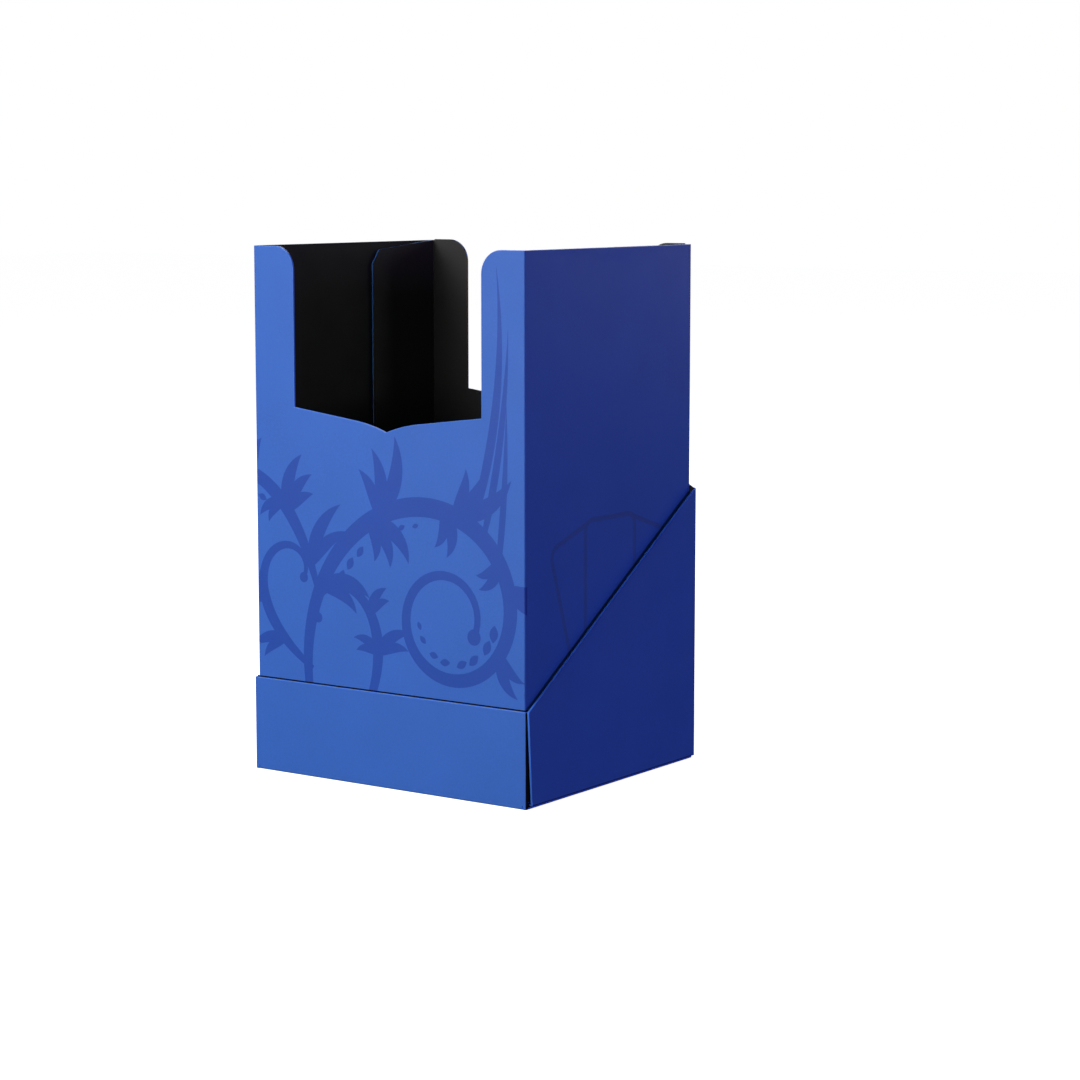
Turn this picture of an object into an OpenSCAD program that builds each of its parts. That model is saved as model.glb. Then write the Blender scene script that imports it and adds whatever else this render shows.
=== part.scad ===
// Deck box for trading cards, folded from thin two-ply sheet: blue shell outside, black film inside.
// An open box body stands in its own lid, which is parked under it as a tray.
// Origin: centre of the lid's underside between its left panel and its glue flap.
// +Z is up, -Y is the front, where the lid is low.
// Each leaf of a folded blank is one node. A leaf keeps the creases along its own edges.

/* [Box body] */
// Width across the side panels
body_w = 72; // [66:0.5:90]
// Depth from the front panel to the back panel
body_d = 63.5; // [56:0.5:90]
// Height of the front and side panels above the body's own underside
body_h = 114.2; // [95:0.2:130]
// How far the back panel stands above the side panels
back_rise = 0.2; // [0:0.05:0.6]

/* [Finger windows] */
// Width of each window between its tabs
window_w = 50; // [36:1:54]
// Depth of the window at its two shoulders
shoulder_drop = 34.6; // [25:0.1:45]
// Slope of the straight outer parts of the sill, in degrees
sill_slope = 7.2; // [0:0.2:10]
// Half the width of the curved middle of the sill
tip_reach = 8.5; // [4:0.5:12]
// Slope of the sill right beside its point, in degrees
tip_slope = 20.8; // [14:0.2:30]
// Radius of the tabs' inner top corners
tab_r = 5; // [2:0.5:5]

/* [Glue flaps of the body] */
// Reach of the glue flaps forward from the back panel's outer face
flap_reach = 23.3; // [16:0.5:28]
// Fall of the glue flap's top edge towards the front
flap_fall = 1.8; // [0:0.1:4]
// Run of the chamfer on a glue flap's free corners
nick_run = 2.4; // [1:0.1:5]
// Height of the chamfer on a glue flap's free corners
nick_rise = 3.2; // [1:0.1:6]

/* [Lid] */
// Height of the lid's front panel
lid_front_h = 20.6; // [14:0.2:30]
// Height of the lid's side panels where they fold into the back panel
lid_rear_h = 61; // [40:0.5:75]
// Further rise of the back panel between its slanted corners
lid_back_rise = 3; // [1:0.5:6]
// Play between the body and the lid on every side
lid_play = 0.15; // [0.1:0.05:0.4]
// Gap between the lid's right panel and the glue flap behind it
slot_gap = 0.3; // [0.15:0.05:0.5]
// How far the right panel's front edge stands back from the front panel at its top
slot_setback = 0.3; // [0.1:0.1:1]
// Further set-back of that edge at its foot
slot_taper = 0.9; // [0:0.1:2]
// Reach of the lid's glue flap back from the front panel
lid_flap_reach = 18; // [12:0.5:24]

/* [Sheet] */
// Thickness of the blue shell sheet
sheet_t = 0.42; // [0.3:0.02:0.6]
// Thickness of the black lining film
lining_t = 0.08; // [0.05:0.01:0.1]
// Thickness of the adhesive tape
tape_t = 0.15; // [0.1:0.05:0.2]
// Outer radius of every crease
fold_r = 0.8; // [0.75:0.05:1]
// Width of the dust flaps folded in over each floor
dust_reach = 20; // [14:0.5:24]

/* [Hidden] */

blue = [0.25, 0.42, 0.76];
black = [0.04, 0.04, 0.045];
amber = [0.78, 0.74, 0.62];

ply_t = sheet_t + lining_t;   // full thickness of the two-ply sheet
layer_step = ply_t + tape_t;  // one glued layer of a floor
relief = 0.3;                 // clearance where a flap ends beside another leaf
overcut = 1;                  // how far a cutter runs past the sheet it cuts
crease_fn = 64;
arc_fn = 96;

// Body, half sizes and levels
half_w = body_w / 2;
half_d = body_d / 2;
body_z = ply_t + layer_step;           // the body's underside stands on the lid's dust flaps
side_top = body_z + body_h;
back_top = side_top + back_rise;
dust_z = body_z + layer_step;          // underside of the body's dust flaps
inner_z = dust_z + layer_step;         // underside of the body's inner floor
flap_face = half_w - ply_t - tape_t;   // outer face of the body's glue flaps

// Lid, half sizes and levels. Its wall is one strip: left, back and right panels follow the front
// panel round, and the right panel is glued over a flap on the front panel.
lid_half_d = half_d + lid_play + ply_t;
lid_half_w = half_w + lid_play + ply_t;             // outer face of the left panel and glue flap
lid_right_w = lid_half_w + slot_gap + ply_t;        // outer face of the right panel
lid_dust_z = layer_step;                            // underside of the lid's dust flaps
lid_wall_z = lid_dust_z + fold_r;                   // lower end of the lid's upright creases
lid_flap_z = lid_dust_z + ply_t + relief;           // lower end of the lid's glue flap
lid_back_top = lid_rear_h + lid_back_rise;
lid_fold_y = lid_half_d - fold_r;                   // where the side panels meet their creases
seam_top_y = -lid_half_d + slot_setback;            // the right panel's front edge, at its top
seam_foot_y = seam_top_y + slot_taper;              // and at its foot
lid_slope = (lid_rear_h - lid_front_h) / (lid_fold_y - seam_top_y);
dust_nick = 4;                                      // chamfer on the dust flaps' free corners
tape_inset = 4;                                     // margin between a tape and its flap's edges
rear_flap_half = lid_half_w - dust_reach - relief;  // fits between the side panels' dust flaps

// ---- Two-ply sheet ----------------------------------------------------------------------------
// near and far are depths below the sheet's outer face: the shell is 0 to sheet_t, the film below.

// Quarter ring about +Z, for a crease at an outer corner in +X and +Y.
module crease(length, near, far) {
    rotate_extrude(angle = 90, $fn = crease_fn)
        translate([fold_r - far, 0])
            square([far - near, length]);
}

// Crease along an upright corner. cx and cy are the corner's outer faces, both positive.
module upright_crease(cx, cy, z_low, z_high, near, far) {
    translate([cx - fold_r, cy - fold_r, z_low])
        crease(z_high - z_low, near, far);
}

// Crease along X between an upright leaf at +Y (outer face cy) and a floor leaf at level z.
module rear_floor_crease(x_reach, cy, z, near, far) {
    translate([-x_reach, cy - fold_r, z + fold_r])
        rotate([0, 90, 0])
            crease(2 * x_reach, near, far);
}

// Crease along Y between an upright leaf at +X (outer face cx) and a floor leaf at level z.
module side_floor_crease(cx, y_low, y_high, z, near, far) {
    translate([cx - fold_r, y_high, z + fold_r])
        rotate([90, 90, 0])
            mirror([0, 1, 0])
                rotate([0, 0, -90])
                    crease(y_high - y_low, near, far);
}

// Extrudes a 2D outline drawn in (Y, Z) into an upright leaf at +X with its outer face at cx.
module side_leaf(cx, near, far) {
    translate([cx - far, 0, 0])
        rotate([90, 0, 90])
            linear_extrude(far - near)
                children();
}

// Extrudes a 2D outline drawn in (X, Z) into an upright leaf at +Y with its outer face at cy.
module rear_leaf(cy, near, far) {
    translate([0, cy - near, 0])
        rotate([90, 0, 0])
            linear_extrude(far - near)
                children();
}

// Extrudes a 2D outline drawn in (X, Y) into a floor leaf with its underside at level z.
module floor_leaf(z, near, far) {
    translate([0, 0, z + near])
        linear_extrude(far - near)
            children();
}

module at_front() {
    mirror([0, 1, 0])
        children();
}

module at_left() {
    mirror([1, 0, 0])
        children();
}

module both_sides() {
    children();
    at_left()
        children();
}

// ---- Outlines ---------------------------------------------------------------------------------

// Opening cut into the front and back panels below the level top. Its sill slopes down from both
// shoulders in a straight line, then curves down to a point in the middle.
module finger_window(top) {
    edge = window_w / 2;
    shoulder = top - shoulder_drop;
    bend = shoulder - (edge - tip_reach) * tan(sill_slope);
    chord_slope = (sill_slope + tip_slope) / 2;
    tip = bend - tip_reach * tan(chord_slope);
    arc_r = tip_reach / cos(chord_slope) / (2 * sin((tip_slope - sill_slope) / 2));
    difference() {
        union() {
            polygon([
                [-edge, top + overcut], [-edge, shoulder], [-tip_reach, bend], [0, tip],
                [tip_reach, bend], [edge, shoulder], [edge, top + overcut]
            ]);
            difference() {
                translate([-edge - tab_r, top - tab_r])
                    square([window_w + 2 * tab_r, tab_r + overcut]);
                for (side = [-1, 1])
                    translate([side * (edge + tab_r), top - tab_r])
                        circle(tab_r, $fn = arc_fn);
            }
        }
        for (side = [-1, 1])
            translate([
                side * (tip_reach + arc_r * sin(sill_slope)),
                bend - arc_r * cos(sill_slope)
            ])
                circle(arc_r, $fn = 2 * arc_fn);
    }
}

// Upright panel between two creases, with a finger window below its top edge.
module window_panel(reach, low, top) {
    difference() {
        translate([-reach, low])
            square([2 * reach, top - low]);
        finger_window(top);
    }
}

// Dust flap from its crease at cx inwards, with chamfered free corners.
module dust_outline(cx, y_low, y_high) {
    fold_x = cx - fold_r;
    free_x = cx - dust_reach;
    polygon([
        [fold_x, y_low], [free_x + dust_nick, y_low], [free_x, y_low + dust_nick],
        [free_x, y_high - dust_nick], [free_x + dust_nick, y_high], [fold_x, y_high]
    ]);
}

// Glue flap behind a side panel of the body, drawn in (Y, Z), sloping down towards the front.
module body_flap_outline() {
    rear = half_d - fold_r;
    free = half_d - flap_reach;
    low = inner_z + ply_t + relief;
    polygon([
        [rear, low], [free + nick_run, low], [free, low + nick_rise],
        [free, side_top - flap_fall - nick_rise], [free + nick_run, side_top - flap_fall],
        [rear, side_top]
    ]);
}

// Glue flap behind the right panel of the lid, drawn in (Y, Z).
module lid_flap_outline() {
    free = -lid_half_d + lid_flap_reach;
    polygon([
        [-lid_fold_y, lid_flap_z], [free, lid_flap_z], [free, lid_front_h - nick_rise],
        [free - nick_run, lid_front_h], [-lid_fold_y, lid_front_h]
    ]);
}

// Side panel of the lid, drawn in (Y, Z), with its diagonal top edge. Its front edge runs from
// foot_y up to top_y.
module lid_side_outline(foot_y, top_y) {
    polygon([
        [foot_y, lid_wall_z], [lid_fold_y, lid_wall_z], [lid_fold_y, lid_rear_h],
        [top_y, lid_front_h]
    ]);
}

// What is cut off the top of the lid's back panel beside the crease at cx: the side panel's
// diagonal runs on over the crease until it reaches the back panel's top edge.
module lid_back_corner(cx) {
    run = lid_back_rise / lid_slope;
    translate([0, lid_half_d + overcut, 0])
        rotate([90, 0, 0])
            linear_extrude(fold_r + 2 * overcut)
                polygon([
                    [cx + overcut, lid_rear_h - overcut * lid_slope],
                    [cx - run - overcut / lid_slope, lid_back_top + overcut],
                    [cx + overcut, lid_back_top + overcut]
                ]);
}

// ---- Body wrap blank: front, sides, outer floor and dust flaps --------------------------------

module wrap_front(near, far) {
    reach = half_w - fold_r;
    at_front() {
        rear_leaf(half_d, near, far)
            window_panel(reach, body_z + fold_r, side_top);
        rear_floor_crease(reach, half_d, body_z, near, far);
        both_sides()
            upright_crease(half_w, half_d, dust_z + fold_r, side_top, near, far);
    }
}

module wrap_side(near, far) {
    side_leaf(half_w, near, far)
        translate([-half_d + fold_r, dust_z + fold_r])
            square([body_d - fold_r, side_top - dust_z - fold_r]);
    side_floor_crease(half_w, -half_d + fold_r, half_d - fold_r, dust_z, near, far);
}

module wrap_dust_flap(near, far) {
    floor_leaf(dust_z, near, far)
        dust_outline(half_w, -half_d + fold_r, half_d - fold_r);
}

module wrap_floor(near, far) {
    floor_leaf(body_z, near, far)
        translate([-half_w + relief, -half_d + fold_r])
            square([body_w - 2 * relief, body_d - fold_r - relief]);
}

// ---- Body back blank: back, glue flaps and inner floor ----------------------------------------

module back_panel(near, far) {
    reach = flap_face - fold_r;
    rear_leaf(half_d, near, far)
        window_panel(reach, inner_z + fold_r, back_top);
    rear_floor_crease(reach, half_d, inner_z, near, far);
    both_sides()
        upright_crease(flap_face, half_d, inner_z + ply_t + relief, side_top, near, far);
}

module back_glue_flap(near, far) {
    side_leaf(flap_face, near, far)
        body_flap_outline();
}

module back_floor(near, far) {
    reach = flap_face - relief;
    floor_leaf(inner_z, near, far)
        translate([-reach, -half_d + ply_t + relief])
            square([2 * reach, body_d - ply_t - relief - fold_r]);
}

// ---- Lid blank: base, front, left, back and right panels, glue flap and dust flaps ------------

module lid_base(near, far) {
    floor_leaf(0, near, far)
        translate([-lid_half_w, -lid_fold_y])
            square([2 * lid_half_w, lid_fold_y + lid_half_d]);
}

module lid_front(near, far) {
    reach = lid_half_w - fold_r;
    at_front() {
        rear_leaf(lid_half_d, near, far)
            translate([-reach, fold_r])
                square([2 * reach, lid_front_h - fold_r]);
        rear_floor_crease(reach, lid_half_d, 0, near, far);
        both_sides()
            upright_crease(lid_half_w, lid_half_d, lid_wall_z, lid_front_h, near, far);
    }
}

module lid_back(near, far) {
    left = lid_half_w - fold_r;
    right = lid_right_w - fold_r;
    difference() {
        union() {
            rear_leaf(lid_half_d, near, far)
                difference() {
                    translate([-left, lid_dust_z])
                        square([left + right, lid_back_top - lid_dust_z]);
                    translate([-rear_flap_half - relief, lid_dust_z - overcut])
                        square([2 * (rear_flap_half + relief), fold_r + overcut]);
                }
            upright_crease(lid_right_w, lid_half_d, lid_wall_z, lid_back_top, near, far);
            at_left()
                upright_crease(lid_half_w, lid_half_d, lid_wall_z, lid_back_top, near, far);
        }
        lid_back_corner(lid_right_w);
        at_left()
            lid_back_corner(lid_half_w);
    }
    rear_floor_crease(rear_flap_half, lid_half_d, lid_dust_z, near, far);
}

// Side panel at +X with its outer face at cx.
module lid_side(cx, foot_y, top_y, near, far) {
    side_leaf(cx, near, far)
        lid_side_outline(foot_y, top_y);
    side_floor_crease(cx, foot_y + relief, lid_fold_y - relief, lid_dust_z, near, far);
}

module lid_right_side(near, far) {
    lid_side(lid_right_w, seam_foot_y, seam_top_y, near, far);
}

module lid_left_side(near, far) {
    at_left()
        lid_side(lid_half_w, -lid_fold_y, -lid_fold_y, near, far);
}

module lid_flap(near, far) {
    side_leaf(lid_half_w, near, far)
        lid_flap_outline();
}

module lid_right_dust(near, far) {
    floor_leaf(lid_dust_z, near, far)
        dust_outline(lid_right_w, seam_foot_y + relief, lid_fold_y - relief);
}

module lid_left_dust(near, far) {
    at_left()
        floor_leaf(lid_dust_z, near, far)
            dust_outline(lid_half_w, -lid_fold_y + relief, lid_fold_y - relief);
}

// Dust flap folded forward from the back panel, drawn in (X, Y).
module lid_rear_dust(near, far) {
    free = lid_half_d - dust_reach;
    floor_leaf(lid_dust_z, near, far)
        polygon([
            [-rear_flap_half, lid_fold_y], [-rear_flap_half, free + dust_nick],
            [-rear_flap_half + dust_nick, free], [rear_flap_half - dust_nick, free],
            [rear_flap_half, free + dust_nick], [rear_flap_half, lid_fold_y]
        ]);
}

// ---- Tapes ------------------------------------------------------------------------------------

// Tape on a side panel's lining, drawn in (Y, Z). face is the lining's plane, gap the tape's own
// thickness.
module side_tape(face, gap, y_low, y_high, z_low, z_high) {
    side_leaf(face, 0, gap)
        translate([y_low, z_low])
            square([y_high - y_low, z_high - z_low]);
}

// Tape between two floor layers under a dust flap that starts at cx.
module floor_tape(cx, reach_y, z) {
    translate([cx - dust_reach + tape_inset, -reach_y, z])
        cube([dust_reach - 2 * tape_inset, 2 * reach_y, tape_t]);
}

// ---- Sub-parts --------------------------------------------------------------------------------

module shell_part() {
    color(blue)
        children();
}

module body_front_panel() {
    shell_part()
        wrap_front(0, sheet_t);
}

module body_right_panel() {
    shell_part()
        wrap_side(0, sheet_t);
}

module body_left_panel() {
    at_left()
        body_right_panel();
}

module body_outer_floor() {
    shell_part()
        wrap_floor(0, sheet_t);
}

module body_right_dust_flap() {
    shell_part()
        wrap_dust_flap(0, sheet_t);
}

module body_left_dust_flap() {
    at_left()
        body_right_dust_flap();
}

module body_wrap_lining() {
    color(black) {
        wrap_front(sheet_t, ply_t);
        wrap_floor(sheet_t, ply_t);
        both_sides() {
            wrap_side(sheet_t, ply_t);
            wrap_dust_flap(sheet_t, ply_t);
        }
    }
}

module body_back_panel() {
    shell_part()
        back_panel(0, sheet_t);
}

module body_right_glue_flap() {
    shell_part()
        back_glue_flap(0, sheet_t);
}

module body_left_glue_flap() {
    at_left()
        body_right_glue_flap();
}

module body_inner_floor() {
    shell_part()
        back_floor(0, sheet_t);
}

module body_back_lining() {
    color(black) {
        back_panel(sheet_t, ply_t);
        back_floor(sheet_t, ply_t);
        both_sides()
            back_glue_flap(sheet_t, ply_t);
    }
}

module body_right_tape() {
    color(amber)
        side_tape(
            half_w - ply_t, tape_t,
            half_d - flap_reach + tape_inset, half_d - tape_inset,
            inner_z + 2 * tape_inset, side_top - 2 * tape_inset
        );
}

module body_left_tape() {
    at_left()
        body_right_tape();
}

module body_floor_tapes() {
    color(amber)
        both_sides()
            for (z = [body_z + ply_t, dust_z + ply_t])
                floor_tape(half_w, half_d - 2 * tape_inset, z);
}

module lid_base_panel() {
    shell_part()
        lid_base(0, sheet_t);
}

module lid_front_panel() {
    shell_part()
        lid_front(0, sheet_t);
}

module lid_back_panel() {
    shell_part()
        lid_back(0, sheet_t);
}

module lid_right_panel() {
    shell_part()
        lid_right_side(0, sheet_t);
}

module lid_left_panel() {
    shell_part()
        lid_left_side(0, sheet_t);
}

module lid_glue_flap() {
    shell_part()
        lid_flap(0, sheet_t);
}

module lid_right_dust_flap() {
    shell_part()
        lid_right_dust(0, sheet_t);
}

module lid_left_dust_flap() {
    shell_part()
        lid_left_dust(0, sheet_t);
}

module lid_rear_dust_flap() {
    shell_part()
        lid_rear_dust(0, sheet_t);
}

module lid_lining() {
    color(black) {
        lid_base(sheet_t, ply_t);
        lid_front(sheet_t, ply_t);
        lid_back(sheet_t, ply_t);
        lid_right_side(sheet_t, ply_t);
        lid_left_side(sheet_t, ply_t);
        lid_flap(sheet_t, ply_t);
        lid_right_dust(sheet_t, ply_t);
        lid_left_dust(sheet_t, ply_t);
        lid_rear_dust(sheet_t, ply_t);
    }
}

module lid_seam_tape() {
    color(amber)
        side_tape(
            lid_right_w - ply_t, slot_gap,
            -lid_half_d + tape_inset, -lid_half_d + lid_flap_reach - tape_inset / 2,
            lid_flap_z + tape_inset / 2, lid_front_h - tape_inset
        );
}

module lid_floor_tapes() {
    reach_y = lid_half_d - 2 * tape_inset;
    rear_tape_half = rear_flap_half - tape_inset;
    color(amber) {
        floor_tape(lid_right_w, reach_y, ply_t);
        at_left()
            floor_tape(lid_half_w, reach_y, ply_t);
        translate([-rear_tape_half, lid_half_d - dust_reach + tape_inset, ply_t])
            cube([2 * rear_tape_half, dust_reach - 2 * tape_inset, tape_t]);
    }
}

body_front_panel();
body_left_panel();
body_right_panel();
body_outer_floor();
body_left_dust_flap();
body_right_dust_flap();
body_wrap_lining();
body_back_panel();
body_left_glue_flap();
body_right_glue_flap();
body_inner_floor();
body_back_lining();
body_left_tape();
body_right_tape();
body_floor_tapes();
lid_base_panel();
lid_front_panel();
lid_back_panel();
lid_left_panel();
lid_right_panel();
lid_glue_flap();
lid_left_dust_flap();
lid_right_dust_flap();
lid_rear_dust_flap();
lid_lining();
lid_seam_tape();
lid_floor_tapes();
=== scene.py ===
import math

import bpy
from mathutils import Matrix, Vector
from mathutils.geometry import delaunay_2d_cdt


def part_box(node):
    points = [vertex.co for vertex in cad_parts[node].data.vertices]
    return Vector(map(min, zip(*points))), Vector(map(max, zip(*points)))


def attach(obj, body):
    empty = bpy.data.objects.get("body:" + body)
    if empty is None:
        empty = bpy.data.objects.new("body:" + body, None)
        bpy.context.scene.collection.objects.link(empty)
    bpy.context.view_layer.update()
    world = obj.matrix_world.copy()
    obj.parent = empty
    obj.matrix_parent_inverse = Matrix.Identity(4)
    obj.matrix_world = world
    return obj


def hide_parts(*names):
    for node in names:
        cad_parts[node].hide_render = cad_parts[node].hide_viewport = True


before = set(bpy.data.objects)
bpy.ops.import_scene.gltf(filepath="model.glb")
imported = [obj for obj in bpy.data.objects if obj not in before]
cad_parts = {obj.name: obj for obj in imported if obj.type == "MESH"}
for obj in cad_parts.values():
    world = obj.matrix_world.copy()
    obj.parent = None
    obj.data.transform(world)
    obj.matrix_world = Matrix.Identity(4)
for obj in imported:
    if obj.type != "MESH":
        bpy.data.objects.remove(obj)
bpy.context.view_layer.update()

# A card deck box folded from two-ply sheet, a blue shell with a black lining. Every leaf of sheet is
# triangulated flat, in its own (u, v) coordinates, and then folded round its creases into place.
# Lengths are in metres, apart from those of the print and of the camera's lens, in millimetres.

MM = 0.001

# ---- Sizes read from the frame ----------------------------------------------------------------

front_low, front_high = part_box("body_front_panel")
back_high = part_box("body_back_panel")[1]
lid_front_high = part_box("lid_front_panel")[1]
lid_back_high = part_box("lid_back_panel")[1]
lid_right_low, lid_right_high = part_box("lid_right_panel")
lid_flap_low, lid_flap_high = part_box("lid_glue_flap")
lid_rear_dust_low, lid_rear_dust_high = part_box("lid_rear_dust_flap")
body_flap_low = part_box("body_right_glue_flap")[0]
outer_floor_low, outer_floor_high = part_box("body_outer_floor")
inner_floor_low, inner_floor_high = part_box("body_inner_floor")
dust_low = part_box("body_right_dust_flap")[0]
lid_dust_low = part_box("lid_right_dust_flap")[0]
tape_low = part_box("lid_floor_tapes")[0]

FOLD_R = front_high.y - front_low.y              # room that every crease takes up
SHEET = inner_floor_high.z - inner_floor_low.z   # thickness of the shell
PLY = tape_low.z                                 # thickness of shell and lining together
HALF_W = front_high.x
HALF_D = -front_low.y
BODY_Z = front_low.z
SIDE_TOP = front_high.z
BACK_TOP = back_high.z
FLAP_FACE = back_high.x              # outer face of the body's glue flaps
INNER_Z = inner_floor_low.z
DUST_Z = dust_low.z                  # underside of the body's dust flaps
LID_HALF_D = lid_back_high.y
LID_HALF_W = lid_front_high.x        # outer face of the left panel and of the glue flap
LID_RIGHT_W = lid_back_high.x        # outer face of the right panel
LID_FRONT_H = lid_front_high.z
LID_REAR_H = lid_right_high.z
LID_BACK_TOP = lid_back_high.z
LID_DUST_Z = lid_dust_low.z          # underside of the lid's dust flaps
LID_WALL_Z = LID_DUST_Z + FOLD_R     # lower end of the lid's upright creases
LID_FOLD_Y = LID_HALF_D - FOLD_R     # where the lid's side panels meet their creases
SEAM_TOP_Y = lid_right_low.y         # front edge of the lid's right panel, at its top
TONGUE_HALF = lid_rear_dust_high.x   # half width of the lid's rear dust flap

# Sizes of the cut-outs, as the CAD model has them
WINDOW_HALF = 25 * MM
SHOULDER_DROP = 34.6 * MM            # from the top of the tabs to the ends of the sill
SILL_SLOPE = math.radians(7.2)
TIP_REACH = 8.5 * MM                 # half width of the sill's curved middle
TIP_SLOPE = math.radians(20.8)
TAB_R = 5 * MM
FLAP_FALL = 1.8 * MM                 # fall of the glue flap's top edge
NICK_RUN = 2.4 * MM                  # chamfer on the glue flaps' free corners
NICK_RISE = 3.2 * MM
DUST_NICK = 4 * MM                   # chamfer on the dust flaps' free corners
RELIEF = 0.3 * MM                    # clearance where a flap ends beside another leaf
SEAM_FOOT_Y = lid_dust_low.y - RELIEF   # front edge of the lid's right panel, at its foot
LID_SLOPE = (LID_REAR_H - LID_FRONT_H) / (LID_FOLD_Y - SEAM_TOP_Y)

# Finish of the folded sheet
CREASE_RUN = FOLD_R * math.pi / 2    # length of flat sheet in a right-angled crease
CREASE_STRAIGHT = 0.25               # share of that before and after the bend itself
CREASE_ROUND = 0.3 * MM              # outer radius in the middle of a crease
CREASE_TIGHT = 0.04 * MM             # least radius on the inside of a crease
CREASE_STEPS = 12
EDGE_ROUND = 0.11 * MM               # rounding of the shell's cut edges
FILM_ROUND = 0.03 * MM
ROUND_STEPS = 3                      # steps in a rounded cut edge
SILL_STEPS = 10
TAB_STEPS = 14
GRID = 3 * MM                        # spacing of the points inside a leaf
BOW = 0.12 * MM                      # how far the middle of a large panel draws in
LINING_RISE = 0.3 * MM               # how far the lid's lining stands above its shell; its black edge is painted shade for the gap between lid and body
SIDE_RISE = 0.06 * MM                # and the same square to the side panels' diagonals, as painted shade there too
SIDE_LIFT = SIDE_RISE / math.cos(math.atan(LID_SLOPE))   # that rise, measured upright
RISE_FADE = 4 * MM                   # the length in which that fades out at the rear
SLIT = 0.12 * MM                     # width of a cut between two creases that meet at a corner
BORDER = 0.15 * MM                   # width of the strip of small faces beside a cut edge
FOOT_SHARE = 0.3                     # share of the lid's foot creases above the painted shade
SEAM_SHARE = 0.5                     # share of the seam's crease that stays blue; the rest is painted shade
LEAN = 0.5 * MM                      # how far the lid's right panel leans in at its diagonal
LEAN_START = 8 * MM                  # height above the foot where the lean begins
LEAN_RISE = 26 * MM                  # height over which it grows
LEAN_FADE = 14 * MM                  # distance from the rear crease over which it fades
LEVEL_RUN = 1.6 * MM                 # level part of the left panel's top edge, beside the front
CDT_SCALE = 1000                     # the triangulation works in millimetres
CDT_EPSILON = 1e-5
CDT_WHOLE_HULL = 0                   # asks for triangles over the whole hull of the points
SEAM_TOLERANCE = 1e-6
PARALLEL = 1e-3                      # sine of the angle below which two edges count as one line
SHARP_ANGLE = math.radians(35)       # shading is smooth across gentler edges than this

# ---- A leaf of sheet --------------------------------------------------------------------------


def crease_profile(share, depth):
    """How far along and how far down a right-angled crease has gone at a share of its run."""
    radius = max(CREASE_ROUND - depth, CREASE_TIGHT)
    straight = FOLD_R - depth - radius
    if share < CREASE_STRAIGHT:
        return straight * share / CREASE_STRAIGHT, depth
    if share > 1 - CREASE_STRAIGHT:
        beyond = (share - 1 + CREASE_STRAIGHT) / CREASE_STRAIGHT
        return FOLD_R - depth, depth + radius + straight * beyond
    angle = (share - CREASE_STRAIGHT) / (1 - 2 * CREASE_STRAIGHT) * math.pi / 2
    return straight + radius * math.sin(angle), depth + radius * (1 - math.cos(angle))


def ease(share):
    """A smooth step from 0 to 1."""
    share = min(max(share, 0), 1)
    return share * share * (3 - 2 * share)


class Leaf:
    """A flat region of sheet, and the creases past its edges, folded into place.
    The outline is anticlockwise seen from outside. Its edges along seams go on into other leaves.
    Where there is a tongue, only the sheet within that half width folds at the foot."""

    def __init__(
        self, origin, u_axis, v_axis, flat_u, flat_v, outline, seams_u=(), seams_v=(), bow=0.0,
        tongue=None, lean=0.0,
    ):
        self.origin = Vector(origin)
        self.u_axis = Vector(u_axis)
        self.v_axis = Vector(v_axis)
        self.normal = self.u_axis.cross(self.v_axis)
        self.flat_u = flat_u
        self.flat_v = flat_v
        self.outline = outline
        self.seams_u = seams_u
        self.seams_v = seams_v
        self.bow = bow
        self.tongue = tongue
        self.lean = lean

    def bow_at(self, u, v):
        """Depth of the panel's slight hollow, which fades to nothing at its creases."""
        (u0, u1), (v0, v1) = self.flat_u, self.flat_v
        across = 1 - ((2 * u - u0 - u1) / (u1 - u0)) ** 2
        return self.bow * across ** 2 * ease((v - v0) / (v1 - v0))

    def lean_at(self, u, v):
        """How far the panel leans in. Its foot and the crease at its far u stay where they are."""
        up = (v - self.flat_v[0] - LEAN_START) / LEAN_RISE
        return self.lean * ease(up) * ease((self.flat_u[1] - u) / LEAN_FADE)

    def place(self, u, v, depth):
        """The point at depth below the sheet's outer face."""
        foot = self.flat_v[0]
        if self.tongue is not None and abs(u) > self.tongue:
            foot = min(v, foot)
        flat = [min(max(u, self.flat_u[0]), self.flat_u[1]), min(max(v, foot), self.flat_v[1])]
        height = -depth - self.bow_at(*flat) - self.lean_at(*flat)
        along = list(flat)
        for i, over in enumerate((u - flat[0], v - flat[1])):
            if abs(over) > SEAM_TOLERANCE:
                out, down = crease_profile(abs(over) / CREASE_RUN, depth)
                along[i] += math.copysign(out, over)
                height = -down
        return self.origin + self.u_axis * along[0] + self.v_axis * along[1] + self.normal * height

    def is_seam(self, a, b):
        """True where the edge from a to b continues into the next leaf, so it isn't a cut edge."""
        for i, seams in enumerate((self.seams_u, self.seams_v)):
            if any(max(abs(a[i] - s), abs(b[i] - s)) < SEAM_TOLERANCE for s in seams):
                return True
        return False

    def crease_lines(self):
        """Constraint lines across the leaf, close together in each crease."""
        us = [p[0] for p in self.outline]
        vs = [p[1] for p in self.outline]
        lines = []
        for flat, reach, make in (
            (self.flat_u, (min(us), max(us)), lambda s: ((s, min(vs)), (s, max(vs)))),
            (self.flat_v, (min(vs), max(vs)), lambda s: ((min(us), s), (max(us), s))),
        ):
            for edge, end in ((flat[0], reach[0]), (flat[1], reach[1])):
                if abs(end - edge) > SEAM_TOLERANCE:
                    lines += [make(edge + (end - edge) * i / CREASE_STEPS) for i in range(CREASE_STEPS)]
        return lines


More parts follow.
